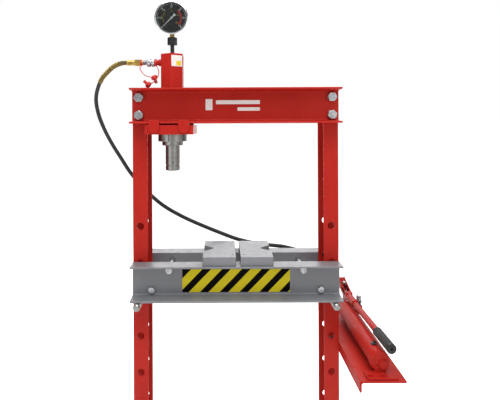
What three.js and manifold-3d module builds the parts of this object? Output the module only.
// A floor-standing hydraulic shop press: a bolted channel frame, a ram carriage that slides along the head beam,
// a height-adjustable bed on two pins, and a hand pump on a side bracket.
// Millimetres, +Z up, +X to the right, +Y to the back. The origin is on the floor, midway between the posts.
import * as THREE from "three";
import { mergeVertices } from "three/addons/utils/BufferGeometryUtils.js";
import Module from "manifold-3d";

const wasm = await Module();
wasm.setup();

// ---------- driving dimensions ----------
const GAP = 0.3; // air between two pieces that touch on the real press
const SIDES = [[-1, "left"], [1, "right"]];
const ENDS = [[-1, "front"], [1, "back"]];
const ROUND = 14; // sides of an ordinary round piece

const FRAME_HEIGHT = 1500;
const FRAME_WIDTH = 596; // over the webs of the posts

const POST_DEPTH = 80;
const POST_FLANGE = 43;
const POST_SECTION = { web: 5, tip: 5, slope: 0.06, root: 3.5, toe: 3 };
const POST_HOLES = 8;
const POST_HOLE_TOP = 1102;
const POST_HOLE_PITCH = 106;
const POST_HOLE_RADIUS = 10.5;
const POST_HOLE_INSET = 21; // from the post's web face to the hole's centre

const BEAM_HEIGHT = 100;
const BEAM_FLANGE = 50;
const BEAM_SECTION = { web: 5.5, tip: 5, slope: 0.06, root: 3.5, toe: 3 };

const HEAD_BOLT_X = 278;
const HEAD_BOLT_DROPS = { upper: 25, lower: 76 }; // below the top of the head
const CARRIAGE_X = -186.5; // where the ram carriage is parked, against the left post
const CARRIAGE_PLATE = { halfWidth: 68, halfDepth: 92, bottom: 1369, top: 1395 };
const LUG = { offset: 41.5, width: 30, top: 1409, bottom: 1372, face: 98, toe: 85 };
const RING = { radius: 43, bottom: 1347.3, slots: 6, slotWidth: 9, slotDepth: 5, turn: -6 };
const COLLAR = { radius: 31.5, bottom: 1335, floor: 1345 };

const CYLINDER_FLATS = 64;
const CYLINDER_TOP = 1606;
const CYLINDER_BORE = 22;
const NECK_RADIUS = 28;
const NECK_BOTTOM = 1347;
const BORE_TOP = 1592;
const PORT_BORE = 3;
const PORT_Z = 1582;
const RAM_RADIUS = 21.5;
const RAM_END = 1261;
const NOSE_TOP = 1299;
const SPIGOT = { radius: 9, bore: 9.4, top: 1309.5 }; // the nose's stub, inside the rod
const ROD_BORE = { radius: 12, bottom: 1318 };
const ROD_TOP = 1585;
const SPRING = { radius: 10, inside: 7, bottom: 1319, top: 1590 };

const GAUGE_Z = 1712;
const GAUGE_RADIUS = 50;

const BED_TOP = 1000.3;
const BED_WEB_Y = 44; // inner face of each bed channel's web
const BED_TIES = { upper: { x: 193, drop: 22 }, lower: { x: 243, drop: 78 } };
const PIN_RADIUS = 10;
const PIN_HALF = 104;
const PLATE_THICKNESS = 25;
const PLATE_HALF_DEPTH = 87;
const NOTCH = { y: 5, half: 30, depth: 31 };

const BRACKET = { top: 763, thickness: 5, leg: 28, reach: 116, front: -233, back: 245 };
const RESERVOIR = { x: 359, z: 795, radius: 24, wall: 3, front: -190, back: 124.7 };
const PUMP_HEAD = { left: 332, right: 398, front: 125, back: 240, top: 812 };
const HANDLE_X = 376;
const HANDLE_TILT = 0.0402; // the tube rises towards the front by this slope
const PIVOT = { y: 220, z: 848 };
const PLUNGER = { y: 188, radius: 6, top: 858 };
const VALVE = { x: 404, y: 118 };
const HOSE_PORT = { x: 343, y: 222 };

const FOOT = { halfLength: 280, leg: 60, thickness: 6 };
const FOOT_BOLT = { y: 18, z: 38, radius: 6 };
const TIE = { halfDepth: 28, height: 25, wall: 5, end: 60 };
const BRACE = { width: 30, thickness: 5, low: [230, 33], high: [22, 300] };

const HOSE_RADIUS = 6.25;
const GUARD_RADIUS = 7.5;
// The hose's route: out of the ferrule, back and down past the left post, across behind the bed, into the pump.
const HOSE_ROUTE = [
  [-322, 0, 1582],
  [-337, 1, 1581.5],
  [-356, 11, 1577.5],
  [-376, 28, 1570],
  [-395, 45, 1558],
  [-412, 60, 1545],
  [-424, 75, 1532],
  [-435, 89, 1515],
  [-444, 102, 1494],
  [-447, 110, 1470],
  [-441, 115, 1432],
  [-424, 118, 1385],
  [-400, 119, 1338],
  [-370, 120, 1289],
  [-336, 122, 1236],
  [-271, 125, 1164],
  [-231, 128, 1130],
  [-170, 131, 1094],
  [-105, 133, 1064],
  [-50, 135, 1041],
  [10, 137, 1018],
  [62, 139, 1005],
  [115, 141, 997],
  [161, 143, 991],
  [210, 151, 977],
  [255, 164, 960],
  [292, 181, 940],
  [318, 198, 918],
  [335, 212, 893],
  [342, 220, 870],
  [343, 222, 853],
];
const GUARD_POINTS = 7; // the guard spring covers the route's first points

// ---------- materials ----------
function paint(color, roughness = 0.42, metalness = 0) {
  return new THREE.MeshStandardMaterial({ color, roughness, metalness });
}
const RED = paint("#b32c28");
const GREY = paint("#8f9094");
const ZINC = paint("#b9bbbb", 0.35, 0.9);
const STEEL = paint("#a7a7a6", 0.3, 0.9);
const BRASS = paint("#c7a24f", 0.35, 0.9);
const BLACK = paint("#141416", 0.5);
const DIAL = paint("#0c0c0e", 0.6);
const GLASS = paint("#dfe7ea", 0.05);
const CAP_RED = paint("#c8332c", 0.55);
const WHITE = paint("#f2f2ee", 0.5);

// ---------- solids ----------
const press = new THREE.Group();

function solid(geometry) {
  const bare = geometry.index ? geometry.toNonIndexed() : geometry.clone();
  bare.deleteAttribute("normal");
  bare.deleteAttribute("uv");
  const merged = mergeVertices(bare, 1e-4);
  return new wasm.Manifold(
    new wasm.Mesh({
      numProp: 3,
      vertProperties: merged.attributes.position.array,
      triVerts: new Uint32Array(merged.index.array),
    }),
  );
}

function geometryOf(manifold) {
  const mesh = manifold.getMesh();
  const geometry = new THREE.BufferGeometry();
  geometry.setAttribute("position", new THREE.BufferAttribute(mesh.vertProperties, 3));
  geometry.setIndex(new THREE.BufferAttribute(mesh.triVerts, 1));
  return geometry;
}

function join(...pieces) {
  return geometryOf(pieces.map(solid).reduce((whole, piece) => whole.add(piece)));
}

function cut(body, ...tools) {
  return geometryOf(tools.map(solid).reduce((rest, tool) => rest.subtract(tool), solid(body)));
}

function place(name, geometry, material) {
  const flat = geometry.index ? geometry.toNonIndexed() : geometry;
  flat.computeVertexNormals();
  const mesh = new THREE.Mesh(flat, material);
  mesh.name = name;
  press.add(mesh);
}

function block([x0, x1], [y0, y1], [z0, z1]) {
  const geometry = new THREE.BoxGeometry(x1 - x0, y1 - y0, z1 - z0);
  return geometry.translate((x0 + x1) / 2, (y0 + y1) / 2, (z0 + z1) / 2);
}

// A round, or many-sided, bar along one axis from a to b; [u, v] is its centre in the other two axes, in order.
function bar(axis, [u, v], [a, b], radius, sides = ROUND, endRadius = radius) {
  const geometry = new THREE.CylinderGeometry(endRadius, radius, b - a, sides);
  geometry.rotateX(Math.PI / 2);
  if (axis === "z") return geometry.translate(u, v, (a + b) / 2);
  if (axis === "x") return geometry.rotateY(Math.PI / 2).translate((a + b) / 2, u, v);
  return geometry.rotateX(-Math.PI / 2).translate(u, (a + b) / 2, v);
}

function hex(axis, centre, span, flats) {
  return bar(axis, centre, span, flats / Math.sqrt(3), 6);
}

function outline(points) {
  const shape = new THREE.Shape();
  points.forEach(([u, v], i) => (i ? shape.lineTo(u, v) : shape.moveTo(u, v)));
  return shape;
}

// A flat outline given as points, made into a slab between a and b along the named axis.
function slab(axis, shape, [a, b], curveSegments = 8) {
  const geometry = new THREE.ExtrudeGeometry(shape, { depth: b - a, bevelEnabled: false, curveSegments });
  if (axis === "z") return geometry.translate(0, 0, a);
  if (axis === "y") return geometry.rotateX(Math.PI / 2).translate(0, b, 0);
  return geometry.rotateX(Math.PI / 2).rotateZ(Math.PI / 2).translate(a, 0, 0);
}

// A turned piece about the z axis: profile points are [radius, height], from the bottom up.
function turned(profile, [x, y], sides = ROUND) {
  const points = profile.map(([radius, height]) => new THREE.Vector2(radius, height));
  return new THREE.LatheGeometry(points, sides).rotateX(Math.PI / 2).translate(x, y, 0);
}

// The same piece turned about the y axis, its heights running to the back.
function turnedAlongY(profile, [x, z], sides = ROUND) {
  const points = profile.map(([radius, height]) => new THREE.Vector2(radius, height));
  return new THREE.LatheGeometry(points, sides).translate(x, 0, z);
}

// A span of x on the right of the press, mirrored to the left when side is -1.
function spanOn(side, [a, b]) {
  return side > 0 ? [a, b] : [-b, -a];
}

// ---------- rolled channel ----------
// u runs from the back of the web out to the flange tips, v from flange to flange.
function channelSection(height, flange, { web, tip, slope, root, toe }) {
  const half = height / 2;
  const inside = half - tip - slope * (flange - web);
  const edge = half - tip;
  const shape = new THREE.Shape();
  shape.moveTo(0, -half);
  shape.lineTo(flange, -half);
  shape.lineTo(flange, -edge - toe * 0.7);
  shape.quadraticCurveTo(flange, -edge, flange - toe, -edge + toe * slope);
  shape.lineTo(web + root, -inside - root * slope);
  shape.quadraticCurveTo(web, -inside, web, -inside + root);
  shape.lineTo(web, inside - root);
  shape.quadraticCurveTo(web, inside, web + root, inside + root * slope);
  shape.lineTo(flange - toe, edge - toe * slope);
  shape.quadraticCurveTo(flange, edge, flange, edge + toe * 0.7);
  shape.lineTo(flange, half);
  shape.lineTo(0, half);
  return shape;
}

// A length of channel centred on the origin; toTips and across are the directions of u and v.
function channel(height, flange, section, length, toTips, across) {
  const shape = channelSection(height, flange, section);
  const options = { depth: length, bevelEnabled: false, curveSegments: 3 };
  const geometry = new THREE.ExtrudeGeometry(shape, options).translate(0, 0, -length / 2);
  const along = new THREE.Vector3().crossVectors(toTips, across);
  return geometry.applyMatrix4(new THREE.Matrix4().makeBasis(toTips, across, along));
}

const UP = new THREE.Vector3(0, 0, 1);

// A beam along x: its web's back is at y = side * webBack and its flanges point away from the posts.
function beam(side, webBack, bottom, holes) {
  const toTips = new THREE.Vector3(0, side, 0);
  const bare = channel(BEAM_HEIGHT, BEAM_FLANGE, BEAM_SECTION, FRAME_WIDTH, toTips, UP);
  bare.translate(0, side * webBack, bottom + BEAM_HEIGHT / 2);
  const through = [side * (webBack + 5) - 8, side * (webBack + 5) + 8];
  return cut(bare, ...holes.map(([x, z, radius]) => bar("y", [x, z], through, radius, 10)));
}

// ---------- posts ----------
const postHoleHeights = Array.from({ length: POST_HOLES }, (_, i) => POST_HOLE_TOP - i * POST_HOLE_PITCH);
const pinHeight = postHoleHeights[2];
const postHoleX = FRAME_WIDTH / 2 - POST_HOLE_INSET;
const headBoltHeights = Object.values(HEAD_BOLT_DROPS).map((drop) => FRAME_HEIGHT - drop);
const BRACKET_BOLT = { y: 22, z: BRACKET.top - 17, radius: 4 };

function post(side) {
  const toTips = new THREE.Vector3(-side, 0, 0);
  const across = new THREE.Vector3(0, 1, 0);
  const bare = channel(POST_DEPTH, POST_FLANGE, POST_SECTION, FRAME_HEIGHT - 2, toTips, across);
  bare.translate((side * FRAME_WIDTH) / 2, 0, FRAME_HEIGHT / 2 - 1);
  const through = [-POST_DEPTH / 2 - 1, POST_DEPTH / 2 + 1];
  const web = spanOn(side, [FRAME_WIDTH / 2 - 10, FRAME_WIDTH / 2 + 5]);
  const drills = [
    ...postHoleHeights.map((z) => bar("y", [side * postHoleX, z], through, POST_HOLE_RADIUS + 0.4, 12)),
    ...headBoltHeights.map((z) => bar("y", [side * HEAD_BOLT_X, z], through, 8.8, 10)),
    ...[-1, 1].map((end) => bar("x", [end * FOOT_BOLT.y, FOOT_BOLT.z], web, FOOT_BOLT.radius + 0.6, 12)),
  ];
  if (side > 0) {
    drills.push(...[-1, 1].map((end) => bar("x", [end * BRACKET_BOLT.y, BRACKET_BOLT.z], web, 4.5, 12)));
  }
  return cut(bare, ...drills);
}

// ---------- fasteners ----------
// A through bolt along y with a washer and head in front and a washer and nut behind: one solid.
function throughBolt([x, z], face, radius, flats, washer, spacer = 0) {
  const pieces = [
    bar("y", [x, z], [-face - washer.thick - 1, face + washer.thick + flats * 0.75], radius, 8),
    bar("y", [x, z], [-face - washer.thick, -face], washer.radius),
    bar("y", [x, z], [face, face + washer.thick], washer.radius),
    hex("y", [x, z], [-face - washer.thick - flats * 0.4, -face - washer.thick], flats),
    hex("y", [x, z], [face + washer.thick, face + washer.thick + flats * 0.52], flats),
  ];
  if (spacer) pieces.push(bar("y", [x, z], [-BED_WEB_Y + GAP, BED_WEB_Y - GAP], spacer));
  return join(...pieces);
}

// A bolt along x through the web of a post: its head is outside, its nut inside.
function sideBolt(side, [y, z], [inner, outer], radius, flats) {
  return join(
    bar("x", [y, z], spanOn(side, [inner - flats * 0.65, outer + 1]), radius, 12),
    hex("x", [y, z], spanOn(side, [inner - flats * 0.5, inner]), flats),
    hex("x", [y, z], spanOn(side, [outer, outer + flats * 0.4]), flats),
  );
}

// ---------- frame ----------
const headBottom = FRAME_HEIGHT - BEAM_HEIGHT;
const headWeb = POST_DEPTH / 2 + GAP;
const headHoles = [-1, 1].flatMap((side) => headBoltHeights.map((z) => [side * HEAD_BOLT_X, z, 8.8]));
place("head_channel_front", beam(-1, headWeb, headBottom, headHoles), RED);
place("head_channel_back", beam(1, headWeb, headBottom, headHoles), RED);

for (const [side, name] of SIDES) {
  place(`${name}_post`, post(side), RED);
  for (const [level, drop] of Object.entries(HEAD_BOLT_DROPS)) {
    const face = headWeb + BEAM_SECTION.web + GAP;
    const at = [side * HEAD_BOLT_X, FRAME_HEIGHT - drop];
    place(`${name}_head_bolt_${level}`, throughBolt(at, face, 8, 24, { radius: 12.5, thick: 2.5 }), ZINC);
  }
}

// ---------- feet ----------
const webFace = FRAME_WIDTH / 2 + GAP;

function foot(side) {
  const { halfLength, leg, thickness } = FOOT;
  const along = [-halfLength, halfLength];
  const angle = join(
    block(spanOn(side, [webFace, webFace + thickness]), along, [0, leg]),
    block(spanOn(side, [webFace, webFace + leg]), along, [0, thickness]),
  );
  const through = spanOn(side, [webFace - 2, webFace + thickness + 2]);
  const drills = [-1, 1].map((end) => bar("x", [end * FOOT_BOLT.y, FOOT_BOLT.z], through, 6.6, 12));
  return cut(angle, ...drills);
}

function floorTie() {
  const reach = FRAME_WIDTH / 2 - POST_SECTION.web - GAP;
  const { halfDepth, height, wall, end } = TIE;
  const tie = join(
    block([-reach, reach], [-halfDepth, halfDepth], [0, wall]),
    block([-reach, reach], [-halfDepth, -halfDepth + wall], [0, height]),
    block([-reach, reach], [halfDepth - wall, halfDepth], [0, height]),
    block([-reach, -reach + wall], [-halfDepth, halfDepth], [0, end]),
    block([reach - wall, reach], [-halfDepth, halfDepth], [0, end]),
  );
  const through = [-reach - 2, reach + 2];
  const drills = [-1, 1].map((side) => bar("x", [side * FOOT_BOLT.y, FOOT_BOLT.z], through, 6.6, 12));
  return cut(tie, ...drills);
}

// A flat strap from the end of a foot up to the post, stepped inwards near its top, with its two bolt heads.
function brace(side, end) {
  const [lowY, lowZ] = BRACE.low;
  const [highY, highZ] = BRACE.high;
  const along = new THREE.Vector3(0, end * (highY - lowY), highZ - lowZ);
  const length = along.length();
  along.normalize();
  const step = FOOT.thickness + GAP;
  const { width, thickness } = BRACE;
  const profile = outline([
    [-15, step],
    [length - 80, step],
    [length - 60, 0],
    [length + 15, 0],
    [length + 15, thickness],
    [length - 60, thickness],
    [length - 80, step + thickness],
    [-15, step + thickness],
  ]);
  const outward = new THREE.Vector3(side, 0, 0);
  const across = new THREE.Vector3().crossVectors(along, outward);
  const options = { depth: width, bevelEnabled: false };
  const strap = new THREE.ExtrudeGeometry(profile, options).translate(0, 0, -width / 2);
  strap.applyMatrix4(new THREE.Matrix4().makeBasis(along, outward, across));
  strap.translate(side * webFace, end * lowY, lowZ);
  const outerLow = webFace + step + thickness;
  const outerHigh = webFace + thickness;
  return join(
    strap,
    hex("x", [end * lowY, lowZ], spanOn(side, [outerLow - 1, outerLow + 6]), 17),
    hex("x", [end * highY, highZ], spanOn(side, [outerHigh - 1, outerHigh + 6]), 17),
  );
}

place("floor_tie", floorTie(), RED);
for (const [side, name] of SIDES) {
  place(`${name}_foot`, foot(side), RED);
  for (const [end, where] of ENDS) {
    const inner = FRAME_WIDTH / 2 - POST_SECTION.web - TIE.wall - 2 * GAP;
    const outer = webFace + FOOT.thickness + GAP;
    const at = [end * FOOT_BOLT.y, FOOT_BOLT.z];
    place(`${name}_foot_bolt_${where}`, sideBolt(side, at, [inner, outer], FOOT_BOLT.radius, 19), ZINC);
    place(`${name}_${where}_brace`, brace(side, end), RED);
  }
}

// ---------- ram carriage ----------
function lugOutline(centre) {
  const half = LUG.width / 2;
  const corner = 5;
  const shape = new THREE.Shape();
  shape.moveTo(centre + half, LUG.bottom + half);
  shape.lineTo(centre + half, LUG.top - corner);
  shape.quadraticCurveTo(centre + half, LUG.top, centre + half - corner, LUG.top);
  shape.lineTo(centre - half + corner, LUG.top);
  shape.quadraticCurveTo(centre - half, LUG.top, centre - half, LUG.top - corner);
  shape.lineTo(centre - half, LUG.bottom + half);
  shape.absarc(centre, LUG.bottom + half, half, Math.PI, 2 * Math.PI, false);
  return shape;
}

function carriagePlate() {
  const { halfWidth, halfDepth, bottom, top } = CARRIAGE_PLATE;
  const flangeTip = headWeb + BEAM_FLANGE;
  const overFlange = headBottom + 5.8;
  const half = LUG.width / 2 - 3;
  const pieces = [
    block([CARRIAGE_X - halfWidth, CARRIAGE_X + halfWidth], [-halfDepth, halfDepth], [bottom, top]),
  ];
  for (const offset of [-LUG.offset, LUG.offset]) {
    const centre = CARRIAGE_X + offset;
    pieces.push(slab("y", lugOutline(centre), [-LUG.face, -flangeTip - GAP], 6));
    pieces.push(slab("y", lugOutline(centre), [flangeTip + GAP, LUG.face], 6));
    pieces.push(block([centre - half, centre + half], [-LUG.face + 2, -LUG.toe], [overFlange, LUG.top]));
    pieces.push(block([centre - half, centre + half], [LUG.toe, LUG.face - 2], [overFlange, LUG.top]));
  }
  return cut(join(...pieces), bar("z", [CARRIAGE_X, 0], [bottom - 1, top + 1], NECK_RADIUS + 0.8, 24));
}

function cylinderBody() {
  const axis = [CARRIAGE_X, 0];
  const flank = CARRIAGE_X - CYLINDER_FLATS / 2;
  const solidBody = join(
    hex("z", axis, [CARRIAGE_PLATE.top + GAP, CYLINDER_TOP], CYLINDER_FLATS),
    bar("z", axis, [NECK_BOTTOM, CARRIAGE_PLATE.top + 1], NECK_RADIUS, 24),
    bar("x", [0, PORT_Z], [flank - 20, flank + 2], 8, 16),
  );
  return cut(
    solidBody,
    bar("z", axis, [NECK_BOTTOM - 7, BORE_TOP], CYLINDER_BORE, 24),
    bar("z", axis, [BORE_TOP - 2, CYLINDER_TOP + 1], PORT_BORE, 12),
    bar("x", [0, PORT_Z], [flank - 21, CARRIAGE_X - 20], PORT_BORE, 12),
  );
}

function lockRing() {
  const axis = [CARRIAGE_X, 0];
  const ring = join(
    bar("z", axis, [RING.bottom, CARRIAGE_PLATE.bottom - GAP], RING.radius, 24),
    bar("z", axis, [COLLAR.bottom, RING.bottom + 0.5], COLLAR.radius, 24),
  );
  const slots = Array.from({ length: RING.slots }, (_, i) => {
    const slot = block(
      [-RING.slotWidth / 2, RING.slotWidth / 2],
      [-RING.radius - 2, -RING.radius + RING.slotDepth],
      [RING.bottom - 1, CARRIAGE_PLATE.bottom],
    );
    const turn = THREE.MathUtils.degToRad(RING.turn + (i * 360) / RING.slots);
    return slot.rotateZ(turn).translate(CARRIAGE_X, 0, 0);
  });
  return cut(
    ring,
    bar("z", axis, [COLLAR.floor, 1400], NECK_RADIUS + 0.8, 24),
    bar("z", axis, [COLLAR.bottom - 1, 1400], CYLINDER_BORE, 24),
    ...slots,
  );
}

place("carriage_plate", carriagePlate(), RED);
place("cylinder_body", cylinderBody(), RED);
place("lock_ring", lockRing(), STEEL);

// ---------- ram ----------
function ramRod() {
  const axis = [CARRIAGE_X, 0];
  return cut(
    bar("z", axis, [NOSE_TOP + GAP, ROD_TOP], RAM_RADIUS, 24),
    bar("z", axis, [ROD_BORE.bottom, ROD_TOP + 1], ROD_BORE.radius),
    bar("z", axis, [NOSE_TOP, SPIGOT.top + 0.5], SPIGOT.bore),
  );
}

const nose = [
  [0, RAM_END],
  [20, RAM_END],
  [RAM_RADIUS, RAM_END + 1.5],
  [RAM_RADIUS, 1274.5],
  [20.2, 1275.5],
  [20.2, 1277],
  [RAM_RADIUS, 1278],
  [RAM_RADIUS, NOSE_TOP],
  [SPIGOT.radius, NOSE_TOP],
  [SPIGOT.radius, SPIGOT.top],
  [0, SPIGOT.top],
];
place("ram_rod", ramRod(), STEEL);
place("ram_nose", turned(nose, [CARRIAGE_X, 0], 24), STEEL);
const springTube = cut(
  bar("z", [CARRIAGE_X, 0], [SPRING.bottom, SPRING.top], SPRING.radius, 10),
  bar("z", [CARRIAGE_X, 0], [SPRING.bottom - 1, SPRING.top + 1], SPRING.inside, 10),
);
place("return_spring", springTube, STEEL);

// ---------- hose end fittings on the carriage ----------
const portX = CARRIAGE_X - CYLINDER_FLATS / 2 - 20;
place(
  "coupler",
  join(
    bar("x", [0, PORT_Z], [portX - 23.3, portX - GAP], 12.25),
    bar("x", [0, PORT_Z], [portX - 35, portX - 23], 7.5, 20),
  ),
  ZINC,
);
place(
  "hose_ferrule",
  join(
    hex("x", [0, PORT_Z], [-293, portX - 35.3], 16),
    bar("x", [0, PORT_Z], [-321, -292.5], 8.5),
  ),
  BRASS,
);

// A dust cap: a rounded cup with a stub, tipped over as it hangs from its strap.
function dustCap(centre, tip, roll) {
  const cap = turned(
    [[0, -12], [4.5, -12], [4.5, 0], [9, 1], [10, 4], [9, 9], [6, 12], [0, 13]],
    [0, 0],
    12,
  );
  return cap.rotateY(tip).rotateX(roll).translate(...centre);
}
place("coupler_dust_cap", dustCap([-237, -10, 1531], -0.35, 0.1), CAP_RED);
place("hose_dust_cap", dustCap([-261, -12, 1519], 2.3, 0.2), CAP_RED);

// ---------- hose ----------
const route = new THREE.CatmullRomCurve3(HOSE_ROUTE.map((p) => new THREE.Vector3(...p)));
const guardEnd = (GUARD_POINTS - 1) / (HOSE_ROUTE.length - 1);

function routeTube(from, to, steps, radius, sides) {
  const points = Array.from({ length: steps + 1 }, (_, i) => route.getPoint(from + ((to - from) * i) / steps));
  const ring = Array.from({ length: sides }, (_, i) => {
    const turn = (2 * Math.PI * i) / sides;
    return [radius * Math.cos(turn), radius * Math.sin(turn)];
  });
  const options = { steps, extrudePath: new THREE.CatmullRomCurve3(points), bevelEnabled: false };
  return new THREE.ExtrudeGeometry(outline(ring), options);
}
place("hose_guard", routeTube(0, guardEnd, 12, GUARD_RADIUS, 10), BRASS);
place("hose", routeTube(guardEnd + 0.0012, 1, 50, HOSE_RADIUS, 8), BLACK);

// ---------- gauge ----------
const gaugeAxis = [CARRIAGE_X, GAUGE_Z];
place(
  "gauge_adapter",
  join(
    bar("z", [CARRIAGE_X, 0], [CYLINDER_TOP + GAP, 1634], 6),
    hex("z", [CARRIAGE_X, 0], [1633, 1657], 25),
  ),
  BLACK,
);
place("gauge_socket", block([CARRIAGE_X - 7, CARRIAGE_X + 7], [-7, 7], [1657.3, 1665.3]), BRASS);
const caseProfile = [
  [44.4, -18],
  [46, -18],
  [46, 8],
  [44, 10],
  [0, 10],
  [0, 8.5],
  [44.4, 8.5],
  [44.4, -18],
];
const bezelProfile = [
  [44, -24],
  [48.5, -24],
  [GAUGE_RADIUS, -22.5],
  [GAUGE_RADIUS, -12],
  [46.4, -12],
  [46.4, -22.3],
  [44, -22.3],
  [44, -24],
];
place("gauge_case", turnedAlongY(caseProfile, gaugeAxis, 24), BLACK);
place("gauge_bezel", turnedAlongY(bezelProfile, gaugeAxis, 24), ZINC);
place("gauge_lens", bar("y", gaugeAxis, [-22, -20.4], 46, 24), GLASS);
const dialFace = bar("y", gaugeAxis, [-17, -15.5], 43.8, 24);
place("gauge_dial", cut(dialFace, bar("y", gaugeAxis, [-18, -14], 1.7, 12)), DIAL);

// The needle points down and to the left, at zero.
function needle() {
  const pointer = outline([
    [-14, -3.2],
    [-10, -1.4],
    [30, -0.7],
    [36, 0],
    [30, 0.7],
    [-10, 1.4],
    [-14, 3.2],
  ]);
  const blade = slab("y", pointer, [-19.2, -18.4]).rotateY(THREE.MathUtils.degToRad(-225));
  blade.translate(CARRIAGE_X, 0, GAUGE_Z);
  return join(blade, bar("y", gaugeAxis, [-19.6, -17.5], 3.4, 16), bar("y", gaugeAxis, [-18, -11], 1.2, 12));
}
place("gauge_needle", needle(), WHITE);

// ---------- bed ----------
const bedBottom = BED_TOP - BEAM_HEIGHT;
const tieSpots = [-1, 1].flatMap((side) =>
  Object.entries(BED_TIES).map(([level, { x, drop }]) => ({
    name: `bed_tie_${side < 0 ? "left" : "right"}_${level}`,
    at: [side * x, BED_TOP - drop],
  })),
);
const tieHoles = tieSpots.map(({ at: [x, z] }) => [x, z, 5.6]);
place("bed_channel_front", beam(-1, BED_WEB_Y, bedBottom, tieHoles), GREY);
place("bed_channel_back", beam(1, BED_WEB_Y, bedBottom, tieHoles), GREY);
for (const { name, at } of tieSpots) {
  const face = BED_WEB_Y + BEAM_SECTION.web + GAP;
  place(name, throughBolt(at, face, 5, 17, { radius: 10, thick: 2 }, 8.5), ZINC);
}
for (const [side, name] of SIDES) {
  place(`${name}_bed_pin`, bar("y", [side * postHoleX, pinHeight], [-PIN_HALF, PIN_HALF], PIN_RADIUS), STEEL);
}

// An arbor plate with a vee cut into its outer edge.
function arborPlate([inner, outer]) {
  const step = Math.sign(inner - outer);
  const shape = outline([
    [inner, -PLATE_HALF_DEPTH],
    [outer, -PLATE_HALF_DEPTH],
    [outer, NOTCH.y - NOTCH.half],
    [outer + step * NOTCH.depth, NOTCH.y],
    [outer, NOTCH.y + NOTCH.half],
    [outer, PLATE_HALF_DEPTH],
    [inner, PLATE_HALF_DEPTH],
  ]);
  return slab("z", shape, [BED_TOP + GAP, BED_TOP + GAP + PLATE_THICKNESS]);
}
place("left_arbor_plate", arborPlate([-1, -95]), GREY);
place("right_arbor_plate", arborPlate([12, 104]), GREY);

// ---------- pump bracket ----------
function pumpBracket() {
  const { top, thickness, leg, reach, front, back } = BRACKET;
  const angle = join(
    block([webFace, webFace + reach], [front, back], [top - thickness, top]),
    block([webFace, webFace + thickness], [front, back], [top - leg, top]),
  );
  const through = [webFace - 2, webFace + thickness + 2];
  const drills = [-1, 1].map((end) => bar("x", [end * BRACKET_BOLT.y, BRACKET_BOLT.z], through, 4.5, 12));
  return cut(angle, ...drills);
}
place("pump_bracket", pumpBracket(), RED);
for (const [end, where] of ENDS) {
  const inner = FRAME_WIDTH / 2 - POST_SECTION.web - GAP;
  const outer = webFace + BRACKET.thickness + GAP;
  const at = [end * BRACKET_BOLT.y, BRACKET_BOLT.z];
  place(`bracket_bolt_${where}`, sideBolt(1, at, [inner, outer], BRACKET_BOLT.radius, 13), ZINC);
}

// ---------- hand pump ----------
const seat = BRACKET.top + GAP;
const tankAxis = [RESERVOIR.x, RESERVOIR.z];
const spigot = RESERVOIR.radius - RESERVOIR.wall - 0.5;
const FILLER = { x: 357.4, y: -160 };

function reservoir() {
  const { radius, wall, front, back } = RESERVOIR;
  return cut(
    bar("y", tankAxis, [front, back], radius, 20),
    bar("y", tankAxis, [front - 1, back + 1], radius - wall, 20),
    bar("z", [FILLER.x, FILLER.y], [RESERVOIR.z + 10, RESERVOIR.z + 30], 5, 12),
  );
}

function reservoirCap() {
  const face = RESERVOIR.front - GAP;
  return join(
    bar("y", tankAxis, [face - 10, face], 26, 20),
    bar("y", tankAxis, [face - 1, face + 14], spigot, 20),
    hex("y", [368, 786], [face - 16, face - 9], 20),
    bar("y", [342, 806], [face - 13, face - 9], 5, 12),
    block([345, 375], [face - 12, face - 1], [seat + 3, RESERVOIR.z - 15]),
    block([319, 398], [-229, face - 1], [seat, seat + 4.5]),
  );
}

function fillerPlug() {
  const crown = RESERVOIR.z + RESERVOIR.radius;
  return join(
    bar("z", [FILLER.x, FILLER.y], [crown - 8, crown + 1], 4.5, 12),
    hex("z", [FILLER.x, FILLER.y], [crown + GAP, crown + 4.5], 14),
  );
}

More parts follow.
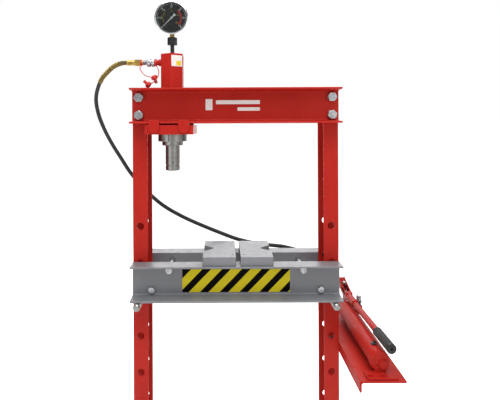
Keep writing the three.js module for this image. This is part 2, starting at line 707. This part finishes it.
function pumpHead() {
  const { left, right, front, back, top } = PUMP_HEAD;
  const lug = [HANDLE_X - 5.7, HANDLE_X + 5.7];
  const casting = join(
    block([left, right], [front, back], [seat + 4, top]),
    block([left - 8, right + 8], [front + 15, back - 15], [seat, seat + 6]),
    bar("y", tankAxis, [front - 15, front + 1], spigot, 20),
    bar("z", [HANDLE_X, PLUNGER.y], [top - 5, top + 6], 10.5),
    block(lug, [PIVOT.y - 13, PIVOT.y + 13], [top - 5, PIVOT.z]),
    bar("x", [PIVOT.y, PIVOT.z], lug, 13),
    bar("z", [VALVE.x, VALVE.y], [780, 804.7], 12),
  );
  return cut(
    casting,
    bar("x", [PIVOT.y, PIVOT.z], [lug[0] - 1, lug[1] + 1], 5.5, 16),
    bar("z", [HANDLE_X, PLUNGER.y], [775, top + 7], PLUNGER.radius + 0.4, 16),
    bar("z", [VALVE.x, VALVE.y], [796, 806], 4.5, 12),
  );
}
place("pump_reservoir", reservoir(), RED);
place("reservoir_cap", reservoirCap(), RED);
place("filler_plug", fillerPlug(), RED);
place("pump_head", pumpHead(), RED);
place("pump_plunger", bar("z", [HANDLE_X, PLUNGER.y], [780, PLUNGER.top], PLUNGER.radius, 16), STEEL);
const valveProfile = [
  [0, 798],
  [4, 798],
  [4, 805],
  [7, 805],
  [7, 817],
  [9.5, 817],
  [9.5, 820.5],
  [7.8, 821],
  [7.8, 837],
  [7, 838],
  [0, 838],
];
place(
  "release_valve",
  turned(valveProfile, [VALVE.x, VALVE.y], 12),
  ZINC,
);
place(
  "pump_hose_fitting",
  join(
    hex("z", [HOSE_PORT.x, HOSE_PORT.y], [PUMP_HEAD.top + GAP, 827], 17),
    bar("z", [HOSE_PORT.x, HOSE_PORT.y], [826, 852.4], 8.2, 20),
  ),
  BRASS,
);

// ---------- pump handle ----------
const SOCKET = { y: 120, z: 828.8 };

// A bar along the tilted handle; distances run forwards from the lever's socket.
function handleBar([from, to], radius, sides = ROUND) {
  const straight = bar("y", [0, 0], [-to, -from], radius, sides);
  return straight.rotateX(-HANDLE_TILT).translate(HANDLE_X, SOCKET.y, SOCKET.z);
}

function pumpHandle() {
  const cheek = outline([
    [127, 815.5],
    [152, 815.5],
    [224, 836],
    [PIVOT.y - 4, PIVOT.z + 13],
    [150, 842],
    [127, 842],
  ]);
  const cheeks = [[364.5, 369.5], [382.5, 387.5]];
  return join(
    ...cheeks.map((span) => slab("x", cheek, span)),
    ...cheeks.map((span) => bar("x", [PIVOT.y, PIVOT.z], span, 14)),
    bar("x", [PIVOT.y, PIVOT.z], [362, 390], 5, 16),
    block([364.5, 387.5], [127, 146], [815.5, 842]),
    handleBar([-12, 60], 12),
    handleBar([50, 350], 9),
  );
}
const grip = cut(handleBar([254, 356], 12.5), handleBar([253, 351], 9.4), handleBar([345, 360], 3, 12));
place("pump_handle", pumpHandle(), RED);
place("handle_grip", grip, BLACK);

export default press;
